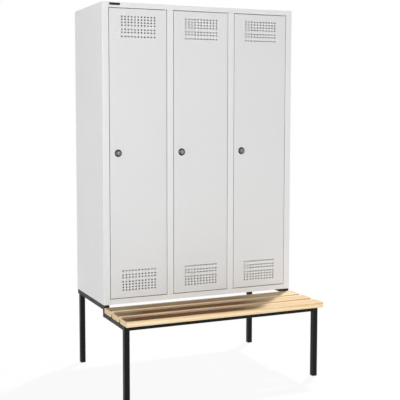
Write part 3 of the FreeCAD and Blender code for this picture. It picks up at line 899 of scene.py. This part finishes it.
def grip_plate():
    # Outline of the grip with its padlock hole, as a flat curve thickened with rounded edges.
    across = grip_top_half - grip_shoulder
    rise = grip_top - grip_shoulder
    outline = [(-grip_half_length, grip_foot), (grip_half_length, grip_foot)]
    for turn, middle in enumerate((across, -across)):
        for step in range(grip_corner_steps + 1):
            angle = math.pi / 2 * (turn + step / grip_corner_steps)
            x = middle + grip_shoulder * math.cos(angle)
            y = rise + grip_shoulder * math.sin(angle)
            outline.append((x, y))
    hole = []
    for n in range(round_steps):
        angle = 2 * math.pi * n / round_steps
        x = grip_hole * math.cos(angle)
        y = grip_hole_height + grip_hole * math.sin(angle)
        hole.append((x, y))
    curve = bpy.data.curves.new("grip", "CURVE")
    curve.dimensions = "2D"
    curve.fill_mode = "BOTH"
    for points in (outline, hole):
        spline = curve.splines.new("POLY")
        spline.points.add(len(points) - 1)
        for point, (x, y) in zip(spline.points, points):
            point.co = (x * millimetre, y * millimetre, 0, 1)
        spline.use_cyclic_u = True
    edge = grip_edge * millimetre
    curve.bevel_depth = edge
    curve.bevel_resolution = grip_edge_steps
    curve.offset = -edge
    curve.extrude = grip_thickness * millimetre / 2 - edge
    holder = bpy.data.objects.new("grip", curve)
    mesh = bpy.data.meshes.new_from_object(holder)
    bpy.data.objects.remove(holder)
    bpy.data.curves.remove(curve)
    return mesh


def lock_grip(name, material):
    # Turned disc and drilled grip in front, square spindle through the lock behind.
    shape = bmesh.new()
    plate = grip_plate()
    shape.from_mesh(plate)
    bpy.data.meshes.remove(plate)
    bmesh.ops.remove_doubles(shape, verts=shape.verts, dist=weld_distance)
    base = lock_axis(name)
    # The outline's X goes up, its Y out of the door and its thickness across.
    stand = Matrix(((0, 0, 1), (0, -1, 0), (1, 0, 0))).to_4x4()
    bmesh.ops.transform(shape, matrix=Matrix.Translation(base) @ stand, verts=shape.verts)
    turned(shape, in_metres(knob_profile), base, outwards, steps=lock_round)
    tail = (base.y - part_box("lock_knob_" + name)[1].y) / millimetre
    head = knob_profile[0][1] + spindle_overlap
    corner = spindle_half * math.sqrt(2)
    spindle = (
        (0, tail),
        (corner - spindle_chamfer, tail),
        (corner, tail + spindle_chamfer),
        (corner, head),
        (0, head),
    )
    turned(shape, in_metres(spindle), base, outwards, steps=square_sides, start=math.pi / 4)
    mesh = finished_mesh("lock_grip_" + name, shape)
    replaced = ["lock_knob_" + name]
    new_piece("lock_grip_" + name, mesh, "lock_" + name, material, replaced)


def weld_bead(shape, start, end):
    # A rippled bead along a corner line, covered by the coat.
    run = Vector(end) - Vector(start)
    length = run.length - 2 * bead_inset
    count = max(round(length / bead_pitch), 1)
    pitch = length / count
    profile = [(0, bead_inset)]
    for n in range(1, count * bead_rings):
        wave = abs(math.sin(math.pi * n / bead_rings))
        radius = bead_radius * (1 - bead_ripple * (1 - wave))
        profile.append((radius, bead_inset + pitch * n / bead_rings))
    profile.append((0, run.length - bead_inset))
    turned(shape, profile, start, run.normalized(), steps=bead_sides)


def weld_beads(material):
    # Beads where legs, step posts, seat arms and upper rails meet.
    shape = bmesh.new()
    for side, sign in zip(sides, (-1, 1)):
        leg_low, leg_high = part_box("leg_front_" + side)
        rear_low, rear_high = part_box("leg_rear_" + side)
        arm_low, arm_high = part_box("seat_arm_" + side)
        rail_low, rail_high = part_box("upper_rail_" + side)
        post_low, post_high = solids("step_posts")[0 if sign < 0 else -1]
        left, right = leg_low.x, leg_high.x
        inner = right if sign < 0 else left
        lines = [
            ((inner, leg_low.y, arm_low.z), (inner, leg_high.y, arm_low.z)),
            ((left, leg_high.y, arm_low.z), (right, leg_high.y, arm_low.z)),
            ((inner, leg_high.y, arm_low.z), (inner, leg_high.y, arm_high.z)),
            ((left, post_high.y, rail_low.z), (right, post_high.y, rail_low.z)),
            ((left, post_low.y, arm_high.z), (right, post_low.y, arm_high.z)),
            ((inner, rear_low.y, rail_low.z), (inner, rear_low.y, rail_high.z)),
            ((inner, rear_high.y, rail_low.z), (inner, rear_high.y, rail_high.z)),
            ((inner, rear_low.y, rail_low.z), (inner, rear_high.y, rail_low.z)),
        ]
        lines += [((left, y, rail_low.z), (right, y, rail_low.z)) for y in (rear_low.y, rear_high.y)]
        for start, end in lines:
            weld_bead(shape, start, end)
    mesh = finished_mesh("weld_beads", shape)
    new_piece("weld_beads", mesh, "cabinet", material)


def make_pieces(finishes):
    badge_plate(finishes["plastic"])
    seat_screws(finishes["zinc"])
    frame_bolts(finishes["zinc"])
    pivot_bushes(finishes["plastic"])
    weld_beads(finishes["frame"])
    for name in compartments:
        pivot_pins(name, finishes["zinc"])
        lock_case(name, finishes["lock"])
        lock_grip(name, finishes["knob"])


# Stage

def make_floor():
    half = floor_size / 2
    mesh = bpy.data.meshes.new("stage_floor")
    corners = [(-half, -half), (half, -half), (half, half), (-half, half)]
    mesh.from_pydata([(x, y, -floor_drop) for x, y in corners], [], [(0, 1, 2, 3)])
    floor = bpy.data.objects.new("stage_floor", mesh)
    bpy.context.scene.collection.objects.link(floor)
    mesh.materials.append(stage_floor_material())
    floor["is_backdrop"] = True


def make_world():
    # White to the eye and in reflections, faint as a light.
    world = bpy.data.worlds.new("studio")
    bpy.context.scene.world = world
    world.use_nodes = True
    tree = world.node_tree
    background = tree.nodes["Background"]
    background.inputs["Color"].default_value = (1, 1, 1, 1)
    path = tree.nodes.new("ShaderNodeLightPath")
    seen = path.outputs["Is Camera Ray"]
    for name in ("Is Glossy Ray", "Is Transmission Ray"):
        larger = tree.nodes.new("ShaderNodeMath")
        larger.operation = "MAXIMUM"
        tree.links.new(seen, larger.inputs[0])
        tree.links.new(path.outputs[name], larger.inputs[1])
        seen = larger.outputs["Value"]
    strength = tree.nodes.new("ShaderNodeMapRange")
    strength.inputs["To Min"].default_value = world_light
    strength.inputs["To Max"].default_value = 1.0
    tree.links.new(seen, strength.inputs["Value"])
    tree.links.new(strength.outputs["Result"], background.inputs["Strength"])


def make_lamps():
    for name, lamp in lamps.items():
        light = bpy.data.lights.new(name, "AREA")
        light.shape = "RECTANGLE"
        light.size = lamp["width"]
        light.size_y = lamp["height"]
        light.energy = lamp["power"]
        holder = bpy.data.objects.new(name, light)
        bpy.context.scene.collection.objects.link(holder)
        holder.location = lamp["place"]
        beam = Vector(lamp_aim) - Vector(lamp["place"])
        holder.rotation_euler = beam.to_track_quat("-Z", "Y").to_euler()


def make_camera():
    lens = bpy.data.cameras.new("camera")
    lens.sensor_width = sensor_width
    lens.lens = focal_pixels * sensor_width / image_size
    lens.shift_x = (image_size / 2 - principal_pixel[0]) / image_size
    lens.shift_y = (principal_pixel[1] - image_size / 2) / image_size
    camera = bpy.data.objects.new("camera", lens)
    bpy.context.scene.collection.objects.link(camera)
    bpy.context.scene.camera = camera
    away = Vector((math.sin(camera_azimuth), -math.cos(camera_azimuth), 0))
    up = Vector(upwards)
    back = away * math.cos(camera_pitch) + up * math.sin(camera_pitch)
    right = up.cross(back).normalized()
    upward = back.cross(right)
    tilted_right = right * math.cos(camera_roll) + upward * math.sin(camera_roll)
    tilted_up = upward * math.cos(camera_roll) - right * math.sin(camera_roll)
    cabinet_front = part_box("roof_panel")[0].y
    place = Vector((aim_x, cabinet_front, camera_height)) + away * camera_distance
    turn = Matrix((tilted_right, tilted_up, back)).transposed()
    camera.matrix_world = Matrix.Translation(place) @ turn.to_4x4()


def main():
    finishes = make_finishes()
    paint_frame(finishes)
    break_edges()
    make_pieces(finishes)
    make_floor()
    make_world()
    make_lamps()
    make_camera()
    bpy.context.scene.view_settings.view_transform = "Standard"


main()
visual_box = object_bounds()
boxes = {"cad": cad_box, "visual": visual_box}
{name: [list(corner) for corner in box] for name, box in boxes.items()}
